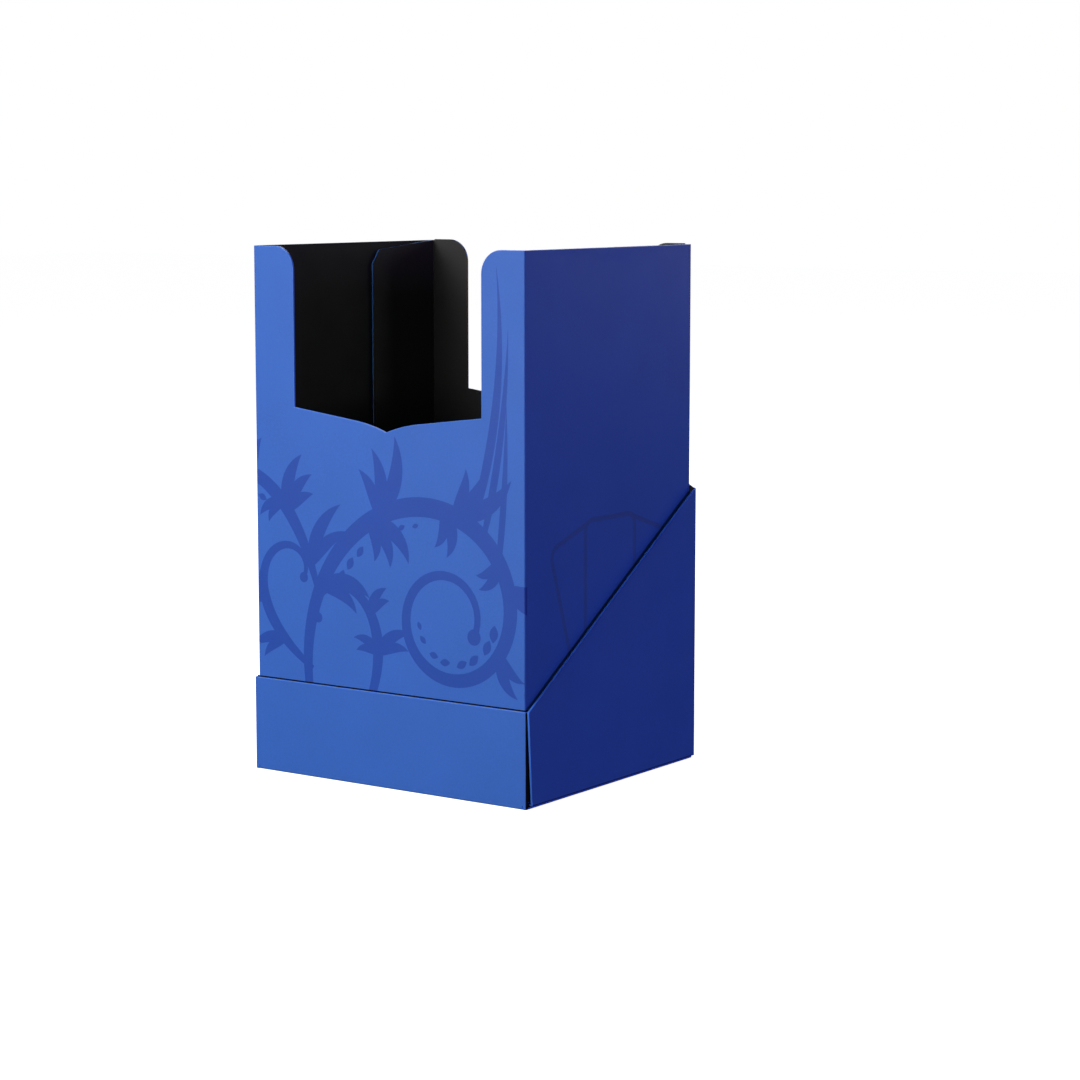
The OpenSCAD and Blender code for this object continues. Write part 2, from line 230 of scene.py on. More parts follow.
def outward_shifts(loop, widths):
    """How far each vertex of an anticlockwise loop moves when its edges move out by widths."""
    shifts = []
    count = len(loop)
    for i in range(count):
        normals = []
        for j in (i - 1, i):
            a, b = loop[j % count], loop[(j + 1) % count]
            run, rise = b[0] - a[0], b[1] - a[1]
            length = math.hypot(run, rise)
            normals.append((rise / length, -run / length))
        (ax, ay), (bx, by) = normals
        wide_a, wide_b = widths[i - 1], widths[i]
        cross = ax * by - ay * bx
        if abs(cross) < PARALLEL:
            middle = (wide_a + wide_b) / 2
            shifts.append((ax * middle, ay * middle))
        else:
            shifts.append(((wide_a * by - wide_b * ay) / cross, (ax * wide_b - bx * wide_a) / cross))
    return shifts


def edge_widths(leaf, loop, width):
    """The rounding of each edge of the loop: none where the sheet goes on."""
    count = len(loop)
    return [0 if leaf.is_seam(loop[i], loop[(i + 1) % count]) else width for i in range(count)]


def grid_points(outline):
    """Points spread over the outline's box, which keep the triangles small and even."""
    us = [p[0] for p in outline]
    vs = [p[1] for p in outline]
    across = int((max(us) - min(us)) / GRID)
    up = int((max(vs) - min(vs)) / GRID)
    points = []
    for i in range(1, across):
        for j in range(1, up):
            u = min(us) + (max(us) - min(us)) * i / across
            v = min(vs) + (max(vs) - min(vs)) * (j + 0.5 * (i % 2)) / up
            points.append((u, v))
    return points


def triangulate(leaf, outline, inks):
    """Flat triangles inside the outline: points, triangles and the ink number of each triangle."""
    points = [Vector(p) * CDT_SCALE for p in outline]
    faces = [list(range(len(points)))]
    ink_of = {}
    for number, polygons in enumerate(inks, start=1):
        for polygon in polygons:
            ink_of[len(faces)] = number
            faces.append(list(range(len(points), len(points) + len(polygon))))
            points += [Vector(p) * CDT_SCALE for p in polygon]
    border = outward_shifts(outline, [-w for w in edge_widths(leaf, outline, BORDER)])
    first = len(points)
    points += [Vector((p[0] + s[0], p[1] + s[1])) * CDT_SCALE for p, s in zip(outline, border)]
    edges = [(first + i, first + (i + 1) % len(outline)) for i in range(len(outline))]
    for a, b in leaf.crease_lines():
        edges.append((len(points), len(points) + 1))
        points += [Vector(a) * CDT_SCALE, Vector(b) * CDT_SCALE]
    points += [Vector(p) * CDT_SCALE for p in grid_points(outline)]
    verts, _, tris, _, _, sources = delaunay_2d_cdt(
        points, edges, faces, CDT_WHOLE_HULL, CDT_EPSILON, True
    )
    keep = [i for i, source in enumerate(sources) if 0 in source]
    used = sorted({v for i in keep for v in tris[i]})
    place_of = {v: n for n, v in enumerate(used)}
    flat = [(verts[v].x / CDT_SCALE, verts[v].y / CDT_SCALE) for v in used]
    kept = [[place_of[v] for v in tris[i]] for i in keep]
    numbers = [max([ink_of[s] for s in sources[i] if s in ink_of], default=0) for i in keep]
    return flat, kept, numbers


def rim(triangles):
    """The vertices round the outside of the triangles, anticlockwise."""
    following = {}
    halves = {(t[i], t[(i + 1) % 3]) for t in triangles for i in range(3)}
    for a, b in halves:
        if (b, a) not in halves:
            following[a] = b
    loop = [min(following)]
    while following[loop[-1]] != loop[0]:
        loop.append(following[loop[-1]])
    return loop


def rim_path(near, far, round_near, round_far):
    """How far out and how deep the rings round a slab's cut edge lie, from its near face on."""
    path = []
    if round_near:
        for step in range(1, ROUND_STEPS + 1):
            angle = math.pi / 2 * step / ROUND_STEPS
            path.append((round_near * math.sin(angle), near + round_near * (1 - math.cos(angle))))
    if round_far:
        for step in range(ROUND_STEPS):
            angle = math.pi / 2 * (1 - step / ROUND_STEPS)
            out = round_near - round_far * (1 - math.sin(angle))
            path.append((out, far - round_far * (1 - math.cos(angle))))
    return path


def sheet_geometry(leaf, near, far, round_near, round_far, inks=(), near_mark=0):
    """A closed slab of the leaf between two depths: vertices, faces and material numbers.
    Material 0 is the face, 1 the cut edge, and 2 and up the inks: print, and also painted shade. near_mark
    is the near face's."""
    outline = leaf.outline
    inset = outward_shifts(outline, [-w for w in edge_widths(leaf, outline, round_near)])
    start = [(p[0] + s[0], p[1] + s[1]) for p, s in zip(outline, inset)]
    flat, triangles, numbers = triangulate(leaf, start, inks)
    loop = rim(triangles)
    base = [flat[i] for i in loop]
    shifts = outward_shifts(base, edge_widths(leaf, base, 1.0))
    verts = [leaf.place(u, v, near) for u, v in flat]
    faces = [list(t) for t in triangles]
    marks = [near_mark if n == 0 else n + 1 for n in numbers]
    previous = list(loop)
    for out, depth in rim_path(near, far, round_near, round_far):
        ring = []
        for (u, v), (du, dv) in zip(base, shifts):
            ring.append(len(verts))
            verts.append(leaf.place(u + du * out, v + dv * out, depth))
        faces += [[previous[i - 1], ring[i - 1], ring[i], previous[i]] for i in range(len(ring))]
        marks += [1] * len(ring)
        previous = ring
    on_rim = {i: n for n, i in enumerate(loop)}
    last_out = round_near - round_far
    inner = []
    for i, (u, v) in enumerate(flat):
        if i in on_rim:
            du, dv = shifts[on_rim[i]]
            u, v = u + du * last_out, v + dv * last_out
        inner.append(len(verts))
        verts.append(leaf.place(u, v, far))
    for i in range(len(loop)):
        faces.append([previous[i - 1], inner[loop[i - 1]], inner[loop[i]], previous[i]])
    marks += [1] * len(loop)
    faces += [[inner[c], inner[b], inner[a]] for a, b, c in triangles]
    marks += [0] * len(triangles)
    return verts, faces, marks


def sheet_piece(name, slabs, materials, body):
    """One object from one or more slabs, standing for the CAD node of that name."""
    verts, faces, marks = [], [], []
    for slab_verts, slab_faces, slab_marks in slabs:
        faces += [[i + len(verts) for i in face] for face in slab_faces]
        verts += slab_verts
        marks += slab_marks
    mesh = bpy.data.meshes.new(name + "_sheet")
    mesh.from_pydata(verts, [], faces)
    for material in materials:
        mesh.materials.append(material)
    mesh.polygons.foreach_set("material_index", marks)
    mesh.polygons.foreach_set("use_smooth", [True] * len(faces))
    mesh.set_sharp_from_angle(angle=SHARP_ANGLE)
    mesh.update()
    piece = bpy.data.objects.new(name + "_sheet", mesh)
    bpy.context.scene.collection.objects.link(piece)
    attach(piece, body)
    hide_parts(name)


# ---- Outlines, anticlockwise seen from outside ------------------------------------------------


def arc_points(centre, radius, start, end, steps):
    """Points on an arc, angles in degrees, both ends included."""
    angles = [math.radians(start + (end - start) * i / steps) for i in range(steps + 1)]
    return [(centre[0] + radius * math.cos(a), centre[1] + radius * math.sin(a)) for a in angles]


def half_sill(top):
    """The sill from its right shoulder, straight and then curving down to the point in the middle."""
    shoulder = top - SHOULDER_DROP
    bend = shoulder - (WINDOW_HALF - TIP_REACH) * math.tan(SILL_SLOPE)
    chord_slope = (SILL_SLOPE + TIP_SLOPE) / 2
    radius = TIP_REACH / math.cos(chord_slope) / (2 * math.sin((TIP_SLOPE - SILL_SLOPE) / 2))
    centre = (TIP_REACH + radius * math.sin(SILL_SLOPE), bend - radius * math.cos(SILL_SLOPE))
    start, end = 90 + math.degrees(SILL_SLOPE), 90 + math.degrees(TIP_SLOPE)
    return [(WINDOW_HALF, shoulder)] + arc_points(centre, radius, start, end, SILL_STEPS)


def window_outline(top):
    """The window's edge from the right tab's top to the left tab's."""
    corner = arc_points((WINDOW_HALF + TAB_R, top - TAB_R), TAB_R, 90, 180, TAB_STEPS)
    right = corner + half_sill(top)
    left = [(-u, v) for u, v in reversed(right[:-1])]
    return right + left


def walled_outline(reach, base_z, crease_low, crease_top, top, window):
    """A wall with a crease on each side and one along its foot. A slit parts creases that would
    meet at the foot."""
    side = reach + CREASE_RUN
    foot = base_z + FOLD_R
    slit = SLIT if crease_low < foot else 0
    half_foot = [(reach - slit, foot - CREASE_RUN)]
    if slit:
        half_foot += [(reach - slit, foot), (reach, foot)]
    half_foot += [(reach, crease_low), (side, crease_low)]
    points = [(-reach + slit, foot - CREASE_RUN)] + half_foot + [(side, crease_top)]
    if top - crease_top > SEAM_TOLERANCE:
        points += [(reach, crease_top), (reach, top)]
    points += window_outline(top) if window else []
    if top - crease_top > SEAM_TOLERANCE:
        points += [(-reach, top), (-reach, crease_top)]
    points.append((-side, crease_top))
    points += [(-u, v) for u, v in reversed(half_foot[1:])]
    return points


def wall(sign, half_d, half_w, base_z, crease_low, crease_top, top, window=False, bow=0.0):
    """A front (sign -1) or back (sign 1) wall."""
    reach = half_w - FOLD_R
    tongue = reach - SLIT / 2 if crease_low < base_z + FOLD_R else None
    return Leaf(
        origin=(0, sign * half_d, 0), u_axis=(-sign, 0, 0), v_axis=(0, 0, 1),
        flat_u=(-reach, reach), flat_v=(base_z + FOLD_R, top),
        outline=walled_outline(reach, base_z, crease_low, crease_top, top, window),
        seams_u=(-reach - CREASE_RUN, reach + CREASE_RUN), seams_v=(base_z + FOLD_R - CREASE_RUN,),
        bow=bow, tongue=tongue,
    )


def side_leaf(side, face, flat_u, flat_v, outline, seams_u, seams_v=(), bow=0.0, lean=0.0):
    """A leaf on the right (side 1) or the left (side -1). The outline is drawn in (Y, Z).
    Only a right one can lean."""
    if side > 0:
        return Leaf(
            (face, 0, 0), (0, 1, 0), (0, 0, 1), flat_u, flat_v, outline, seams_u, seams_v, bow, lean=lean
        )
    return Leaf(
        (-face, 0, 0), (0, -1, 0), (0, 0, 1), (-flat_u[1], -flat_u[0]), flat_v,
        [(-u, v) for u, v in reversed(outline)], [-s for s in seams_u], seams_v, bow,
    )


def floor_leaf(z, outline, seams_x=(), seams_y=()):
    """A level leaf whose outer face looks down. The outline is drawn in (X, Y)."""
    xs = [p[0] for p in outline]
    ys = [-p[1] for p in outline]
    return Leaf(
        (0, 0, z), (1, 0, 0), (0, -1, 0), (min(xs), max(xs)), (min(ys), max(ys)),
        [(x, -y) for x, y in reversed(outline)], seams_x, [-s for s in seams_y],
    )


def rectangle(x0, x1, y0, y1):
    """The corners of a rectangle, anticlockwise."""
    return [(x0, y0), (x1, y0), (x1, y1), (x0, y1)]


def body_side(side):
    """The body's side panel and the crease at its foot."""
    rear, front, foot = HALF_D, -HALF_D + FOLD_R, DUST_Z + FOLD_R
    outline = [
        (front, foot - CREASE_RUN), (rear - FOLD_R, foot - CREASE_RUN), (rear - FOLD_R, foot),
        (rear, foot), (rear, SIDE_TOP), (front, SIDE_TOP),
    ]
    seam_v = foot - CREASE_RUN
    return side_leaf(side, HALF_W, (front, rear), (foot, SIDE_TOP), outline, (front,), (seam_v,), BOW)


def body_flap(side):
    """The glue flap folded forward from the back panel."""
    rear, free, low = HALF_D - FOLD_R, body_flap_low.y, body_flap_low.z
    outline = [
        (rear, low), (rear, SIDE_TOP), (free + NICK_RUN, SIDE_TOP - FLAP_FALL),
        (free, SIDE_TOP - FLAP_FALL - NICK_RISE), (free, low + NICK_RISE), (free + NICK_RUN, low),
    ]
    return side_leaf(side, FLAP_FACE, (free, rear), (low, SIDE_TOP), outline, (rear,))


def lid_front_leaf(lift=0.0):
    """The lid's front panel. lift raises its top edge, for a lining that stands proud."""
    top = LID_FRONT_H + lift
    return wall(-1, LID_HALF_D, LID_HALF_W, 0, crease_low=0, crease_top=top, top=top)


def lid_back_leaf():
    """The lid's back panel, whose corners go on with the side panels' diagonals."""
    left, right = LID_HALF_W - FOLD_R, LID_RIGHT_W - FOLD_R
    slit = TONGUE_HALF + RELIEF
    foot = LID_WALL_Z - CREASE_RUN
    over = LID_REAR_H + FOLD_R * LID_SLOPE
    run = (LID_BACK_TOP - LID_REAR_H) / LID_SLOPE
    outline = [
        (-right - CREASE_RUN, LID_DUST_Z), (-slit, LID_DUST_Z), (-slit, LID_WALL_Z),
        (-TONGUE_HALF, LID_WALL_Z), (-TONGUE_HALF, foot), (TONGUE_HALF, foot), (TONGUE_HALF, LID_WALL_Z),
        (slit, LID_WALL_Z), (slit, LID_DUST_Z), (left + CREASE_RUN, LID_DUST_Z),
        (left + CREASE_RUN, LID_REAR_H), (left, over), (LID_HALF_W - run, LID_BACK_TOP),
        (run - LID_RIGHT_W, LID_BACK_TOP), (-right, over), (-right - CREASE_RUN, LID_REAR_H),
    ]
    return Leaf(
        origin=(0, LID_HALF_D, 0), u_axis=(-1, 0, 0), v_axis=(0, 0, 1),
        flat_u=(-right, left), flat_v=(LID_WALL_Z, LID_BACK_TOP), outline=outline,
        seams_u=(-right - CREASE_RUN, left + CREASE_RUN), seams_v=(foot,), tongue=TONGUE_HALF + RELIEF / 2,
    )


def lid_side(side, lift=0.0):
    """A side panel of the lid, with its diagonal top edge. Only the left one folds into the front,
    and only the right one, which nothing holds there, leans in."""
    face, foot_y, top_y = LID_RIGHT_W, SEAM_FOOT_Y, SEAM_TOP_Y
    seams, level, lean = (LID_FOLD_Y,), [], LEAN
    if side < 0:
        face, foot_y, top_y = LID_HALF_W, -LID_FOLD_Y, -LID_FOLD_Y
        seams, lean = (-LID_FOLD_Y, LID_FOLD_Y), 0.0
        level = [(top_y + LEVEL_RUN, LID_FRONT_H + lift)]
    foot = LID_WALL_Z - CREASE_RUN
    slope = (LID_REAR_H - LID_FRONT_H) / (LID_FOLD_Y - top_y - (LEVEL_RUN if level else 0))
    outline = [
        (foot_y + SLIT, foot), (LID_FOLD_Y - SLIT, foot), (LID_FOLD_Y - SLIT, LID_WALL_Z),
        (LID_FOLD_Y, LID_WALL_Z), (LID_FOLD_Y, LID_REAR_H),
        (LID_FOLD_Y - RISE_FADE, LID_REAR_H - RISE_FADE * slope + lift),
        *level, (top_y, LID_FRONT_H + lift), (foot_y, LID_WALL_Z), (foot_y + SLIT, LID_WALL_Z),
    ]
    return side_leaf(
        side, face, (top_y, LID_FOLD_Y), (LID_WALL_Z, LID_REAR_H + lift), outline, seams, (foot,),
        lean=lean,
    )


def lid_foot_shade_paint():
    """The lower part of a side panel's foot crease, painted dark: painted shade for the gap above the
    lid's base.
    """
    low, high = LID_WALL_Z - 2 * CREASE_RUN, LID_WALL_Z - FOOT_SHARE * CREASE_RUN
    return [rectangle(-LID_HALF_D, LID_HALF_D, low, high)]


def lid_seam_shade_paint():
    """The part of the front panel's right crease that lies in the seam, painted dark: painted shade for
    the slot beside the right panel.
    """
    reach = LID_HALF_W - FOLD_R
    start, end = reach + SEAM_SHARE * CREASE_RUN, reach + 2 * CREASE_RUN
    return [rectangle(start, end, -LID_FRONT_H, 2 * LID_FRONT_H)]


def lid_flap(lift=0.0):
    """The glue flap folded back from the lid's front panel, behind the right panel."""
    free, low, top = lid_flap_high.y, lid_flap_low.z, LID_FRONT_H + lift
    outline = [
        (-LID_FOLD_Y, low), (free, low), (free, top - NICK_RISE), (free - NICK_RUN, top),
        (-LID_FOLD_Y, top),
    ]
    return side_leaf(1, LID_HALF_W, (-LID_FOLD_Y, free), (low, top), outline, (-LID_FOLD_Y,))


def rear_dust_flap():
    """The floor flap folded forward from the lid's back panel."""
    x, free = TONGUE_HALF, lid_rear_dust_low.y
    outline = [
        (-x, LID_FOLD_Y), (-x, free + DUST_NICK), (DUST_NICK - x, free), (x - DUST_NICK, free),
        (x, free + DUST_NICK), (x, LID_FOLD_Y),
    ]
    return floor_leaf(LID_DUST_Z, outline, seams_y=(LID_FOLD_Y,))


def dust_flap(name, side, face):
    """A floor flap folded in from the side panel whose outer face is at face, by its node's box."""
    low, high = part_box(name)
    fold = face - FOLD_R
    free = low.x if side > 0 else -high.x
    outline = [
        (fold, low.y), (fold, high.y), (free + DUST_NICK, high.y), (free, high.y - DUST_NICK),
        (free, low.y + DUST_NICK), (free + DUST_NICK, low.y),
    ]
    if side < 0:
        outline = [(-x, y) for x, y in reversed(outline)]
    return floor_leaf(low.z, outline, seams_x=(side * fold,))


# ---- Printed ornament and emblem --------------------------------------------------------------
# Drawn in millimetres, x to the right and z up. Each shape is a list of triangular tiles.

LEAST_AREA = 1e-4        # twice the area of the smallest tile that is kept
LEAST_HALF_WIDTH = 0.03  # of a leaf, at its ends
STEM_SWELL = 0.4         # share of a stem's length at which it is thickest
ROOT_STEPS = 16
BUD_SIZE = 2.3           # radius of the bud over the stem's last half width
SPRAY_OPENING = 24       # degrees between the leaves of a spray, which from one to the next are
SPRAY_SHORTER = 0.2      # shorter, by this share of the first one's length,
SPRAY_STRAIGHTER = 6     # less bent, by this many degrees,
SPRAY_NARROWER = 0.12    # and narrower, by this share of the first one's width
SEED_REACH = 1.7         # half the length of a seed over its half width
SEED_TILT = 12           # degrees away from the stem
CARD_SIZE = (19, 28)
CARD_CORNER = 2.5
CARD_LINE = 1.1
CARD_STEPS = 5           # steps in a corner of a card
FAN_PIVOT = (0, 14)
FAN_REACH = 30           # from the pivot to the middle of a card
FAN_TILT = 18            # degrees


def sweep(start, heading, length, bend_start, bend_end, steps):
    """A line whose bend, in degrees per millimetre, grows from one value to another."""
    x, y = start
    heading = math.radians(heading)
    points = [(x, y, heading)]
    for i in range(steps):
        t = (i + 0.5) / steps
        heading += math.radians(bend_start + (bend_end - bend_start) * t * t) * length / steps
        x += length / steps * math.cos(heading)
        y += length / steps * math.sin(heading)
        points.append((x, y, heading))
    return points


def ribbon(points, widths):
    """Tiles along a line, with a half width at each of its points."""
    edges = [
        ((x - w * math.sin(h), y + w * math.cos(h)), (x + w * math.sin(h), y - w * math.cos(h)))
        for (x, y, h), w in zip(points, widths)
    ]
    tiles = []
    for (a, b), (c, d) in zip(edges, edges[1:]):
        tiles += [[b, d, c], [b, c, a]]
    return tiles


def in_metres(tiles):
    """The tiles in metres, each anticlockwise, without any that has no area."""
    out = []
    for a, b, c in tiles:
        area = (b[0] - a[0]) * (c[1] - a[1]) - (b[1] - a[1]) * (c[0] - a[0])
        if abs(area) > LEAST_AREA:
            out.append([(x * MM, y * MM) for x, y in ((a, b, c) if area > 0 else (a, c, b))])
    return out


def blade(start, heading, length, turn, full, belly=0.42, steps=16):
    """A pointed leaf that turns steadily, widest at a share of its length."""
    rise = belly / (1 - belly)
    peak = belly ** rise * (1 - belly)
    shares = [i / steps for i in range(steps + 1)]
    widths = [max(LEAST_HALF_WIDTH, full * t ** rise * (1 - t) / peak) for t in shares]
    return ribbon(sweep(start, heading, length, turn / length, turn / length, steps), widths)


def bud(centre, radius, steps=18):
    """A round end for a stem."""
    points = arc_points(centre, radius, 0, 360, steps)[:-1]
    return [[centre, points[i - 1], points[i]] for i in range(steps)]


def stem(line, root, full, tip):
    """A stem that swells from its root and thins towards its bud."""
    widths = []
    for i in range(len(line)):
        t = i / (len(line) - 1)
        if t < STEM_SWELL:
            widths.append(root + (full - root) * math.sin(math.pi / 2 * t / STEM_SWELL))
        else:
            widths.append(full + (tip - full) * (t - STEM_SWELL) / (1 - STEM_SWELL))
    return ribbon(line, widths) + bud(line[-1][:2], tip * BUD_SIZE)


def spray(line, t, side, count, splay, length, turn, full):
    """Leaves that part from a stem together, each shorter and more open than the last."""
    x, y, heading = line[round(t * (len(line) - 1))]
    tiles = []
    for k in range(count):
        leaf_heading = math.degrees(heading) + side * (splay + SPRAY_OPENING * k)
        leaf_length = length * (1 - SPRAY_SHORTER * k)
        leaf_turn = side * (turn - SPRAY_STRAIGHTER * k)
        tiles += blade((x, y), leaf_heading, leaf_length, leaf_turn, full * (1 - SPRAY_NARROWER * k))
    return tiles


def seeds(line, t_from, t_to, count, offset, size):
    """A row of small ovals beside a stem, each smaller than the last."""
    tiles = []
    for i in range(count):
        share = i / (count - 1)
        x, y, heading = line[round((t_from + (t_to - t_from) * share) * (len(line) - 1))]
        radius = size * (1 - share / 2)
        reach = SEED_REACH * radius
        start = (
            x - offset * math.sin(heading) - reach * math.cos(heading),
            y + offset * math.cos(heading) - reach * math.sin(heading),
        )
        tiles += blade(start, math.degrees(heading) + SEED_TILT, 2 * reach, 0, radius, 0.5, 8)
    return tiles


def front_print():
    """The ornament on the body's front panel: a large scroll, three small ones and long blades."""
    # start, heading, length, bend at the start and at the end, steps
    main = sweep((-20, 13), 108, 176, -1.35, -7.2, 120)
    left = sweep((-18.6, 40), 104, 66, 0.9, 9.6, 60)
    low = sweep((-20.5, 24), 150, 46, -1.2, -15, 50)
    inner = sweep((-6, 16), 62, 44, 1.6, 12, 50)
    tiles = stem(main, 0.9, 2.1, 0.75) + stem(left, 0.6, 1.6, 0.55)
    tiles += stem(low, 0.6, 1.4, 0.5) + stem(inner, 0.8, 1.4, 0.5)
    # the lower ends of two stems, which thin out downwards
    for start, heading, length in (((-20, 13), 288, 13), ((-6, 16), 242, 15)):
        root = sweep(start, heading, length, 0.6, 1.8, ROOT_STEPS)
        tiles += ribbon(root, [0.9 - 0.8 * i / ROOT_STEPS for i in range(ROOT_STEPS + 1)])
    # share of the stem's length, side, number of leaves, splay, length, turn, half width
    for group in (
        (0.30, 1, 3, 14, 19, 62, 1.9), (0.42, 1, 3, 12, 18, 60, 1.9), (0.53, 1, 2, 16, 15, 66, 1.7),
        (0.62, 1, 2, 16, 11, 70, 1.4), (0.17, -1, 2, 26, 15, 84, 1.7), (0.28, -1, 3, 22, 15, 88, 1.8),
        (0.40, -1, 2, 24, 11, 92, 1.5), (0.50, -1, 2, 24, 9, 90, 1.3),
    ):
        tiles += spray(main, *group)
    for group in (
        (0.10, -1, 2, 18, 17, 60, 1.7), (0.30, -1, 3, 18, 14, 66, 1.7),
        (0.48, -1, 2, 18, 11, 70, 1.4), (0.34, 1, 2, 30, 8, 80, 1.2),
    ):
        tiles += spray(left, *group)
    for group in ((0.20, 1, 2, 20, 10, 66, 1.3), (0.42, 1, 2, 20, 9, 66, 1.2)):
        tiles += spray(low, *group)
    for group in (
        (0.30, -1, 2, 18, 11, 70, 1.4), (0.50, -1, 2, 20, 8, 76, 1.2), (0.30, 1, 2, 24, 8, 80, 1.1),
    ):
        tiles += spray(inner, *group)
    tiles += seeds(main, 0.60, 0.80, 8, -3.7, 1.1) + seeds(main, 0.20, 0.36, 7, -4.2, 1.0)
    tiles += seeds(left, 0.36, 0.66, 6, 3.0, 0.8)
    for x, y, heading, length, turn, full in (
        (22, 57, 68, 56, 28, 1.1), (25, 54, 74, 46, 14, 0.9), (29, 48, 82, 36, 8, 0.8),
    ):
        tiles += blade((x, y), heading, length, turn, full, 0.3)
    return in_metres(tiles)


def card_loop(centre, tilt, grow):
    """Points round a card with rounded corners, which is larger all round by grow."""
    corner_x, corner_y = CARD_SIZE[0] / 2 - CARD_CORNER, CARD_SIZE[1] / 2 - CARD_CORNER
    points = []
    for sx, sy, start in ((1, 1, 0), (-1, 1, 90), (-1, -1, 180), (1, -1, 270)):
        middle = (sx * corner_x, sy * corner_y)
        points += arc_points(middle, CARD_CORNER + grow, start, start + 90, CARD_STEPS)
    c, s = math.cos(tilt), math.sin(tilt)
    return [(centre[0] + x * c - y * s, centre[1] + x * s + y * c) for x, y in points]


def card_tiles(centre, tilt):
    """The outline of a blank card, and the tiles that fill it."""
    outer, inner = card_loop(centre, tilt, CARD_LINE / 2), card_loop(centre, tilt, -CARD_LINE / 2)
    ring, fill = [], []
    for i in range(len(outer)):
        ring += [[outer[i - 1], outer[i], inner[i]], [outer[i - 1], inner[i], inner[i - 1]]]
        fill.append([centre, outer[i - 1], outer[i]])
    return ring, fill


def side_emblem():
    """Three blank cards in a fan, faintly printed on a side panel, and their materials."""
    inks, materials = [], []
    for degrees in (FAN_TILT, -FAN_TILT, 0):
        tilt = math.radians(degrees)
        centre = (FAN_PIVOT[0] - FAN_REACH * math.sin(tilt), FAN_PIVOT[1] + FAN_REACH * math.cos(tilt))
        ring, fill = card_tiles(centre, tilt)
        inks += [in_metres(fill), in_metres(ring)]
        materials += [blue_sheet, faint_print]
    return inks, materials


# ---- Materials --------------------------------------------------------------------------------

CLOUD_SCALE = 60         # noise features per metre: soft clouds,
FLECK_SCALE = 2200       # fine flecks
WEAR_SCALE = 160         # and uneven gloss
NOISE_LOW = 0.3          # most of a noise's values lie between these two
NOISE_HIGH = 0.7
CLOUD_CONTRAST = 0.06
FLECK_CONTRAST = 0.1
FLECK_SHARE = 0.35       # share of the flecks in the colour, beside the clouds
GLOSSIER = 0.04          # how far the roughness goes down and up
DULLER = 0.06
GRAIN_STRENGTH = 0.6


def linear(red, green, blue):
    """A colour given in sRGB 0 to 255, as linear light."""
    def one(value):
        value /= 255
        return value / 12.92 if value <= 0.04045 else ((value + 0.055) / 1.055) ** 2.4
    return (one(red), one(green), one(blue), 1.0)


def scaled(colour, factor):
    """A lighter or darker colour."""
    return tuple(c * factor for c in colour[:3]) + (1.0,)


def noise(tree, vector, scale, detail, seed):
    """The value of a noise texture in four dimensions, with the seed as the fourth."""
    node = tree.nodes.new("ShaderNodeTexNoise")
    node.noise_dimensions = "4D"
    node.inputs["Scale"].default_value = scale
    node.inputs["Detail"].default_value = detail
    node.inputs["W"].default_value = seed
    tree.links.new(vector, node.inputs["Vector"])
    return node.outputs["Fac"]


def spread(tree, value, low, high):
    """Maps the middle of a noise to a range."""
    node = tree.nodes.new("ShaderNodeMapRange")
    node.inputs["From Min"].default_value = NOISE_LOW
    node.inputs["From Max"].default_value = NOISE_HIGH
    node.inputs["To Min"].default_value = low
    node.inputs["To Max"].default_value = high
    tree.links.new(value, node.inputs["Value"])
    return node.outputs["Result"]


def mix_colours(tree, factor, first, second):
    """Two colours mixed by a factor. Each of the three is a plain value or another node's output."""
    node = tree.nodes.new("ShaderNodeMix")
    node.data_type = "RGBA"
    colour_sockets = [socket for socket in node.inputs if socket.type == "RGBA"]
    for socket, given in zip((node.inputs["Factor"], *colour_sockets), (factor, first, second)):
        if isinstance(given, (float, tuple)):
            socket.default_value = given
        else:
            tree.links.new(given, socket)
    return next(socket for socket in node.outputs if socket.type == "RGBA")


def plastic(name, colour, rough, grain_size, grain_height, specular=0.5):
    """Satin plastic: cloudy and flecked colour, uneven gloss and a fine grain."""
    material = bpy.data.materials.new(name)
    material.use_nodes = True
    tree = material.node_tree
    shader = tree.nodes["Principled BSDF"]
    shader.inputs["Specular IOR Level"].default_value = specular
    place = tree.nodes.new("ShaderNodeTexCoord").outputs["Object"]
    cloud = spread(tree, noise(tree, place, CLOUD_SCALE, 3, 1.0), 0, 1)
    fleck = spread(tree, noise(tree, place, FLECK_SCALE, 2, 2.0), 0, 1)
    clouds = mix_colours(
        tree, cloud, scaled(colour, 1 - CLOUD_CONTRAST), scaled(colour, 1 + CLOUD_CONTRAST)
    )
    flecks = mix_colours(
        tree, fleck, scaled(colour, 1 - FLECK_CONTRAST), scaled(colour, 1 + FLECK_CONTRAST)
    )
    tree.links.new(mix_colours(tree, FLECK_SHARE, clouds, flecks), shader.inputs["Base Color"])
    worn = spread(tree, noise(tree, place, WEAR_SCALE, 4, 3.0), rough - GLOSSIER, rough + DULLER)
    tree.links.new(worn, shader.inputs["Roughness"])
    grain = noise(tree, place, 1 / grain_size, 3, 4.0)
    bump = tree.nodes.new("ShaderNodeBump")
    bump.inputs["Strength"].default_value = GRAIN_STRENGTH
    bump.inputs["Distance"].default_value = grain_height
    tree.links.new(grain, bump.inputs["Height"])
    tree.links.new(bump.outputs["Normal"], shader.inputs["Normal"])
    return material


BLUE = linear(51, 106, 199)
PRINT_BLUE = linear(27, 76, 174)
FAINT_BLUE = linear(57, 100, 178)
# Cut edges have a glossier finish, and their blue is lighter than the sheet's as a painted highlight.
EDGE_BLUE_AND_HIGHLIGHT = linear(64, 126, 232)
# A still lighter blue for the body's glue flaps' cut edges: a painted highlight.
PAINTED_HIGHLIGHT_BLUE = linear(98, 164, 255)
BLACK = linear(50, 50, 50)
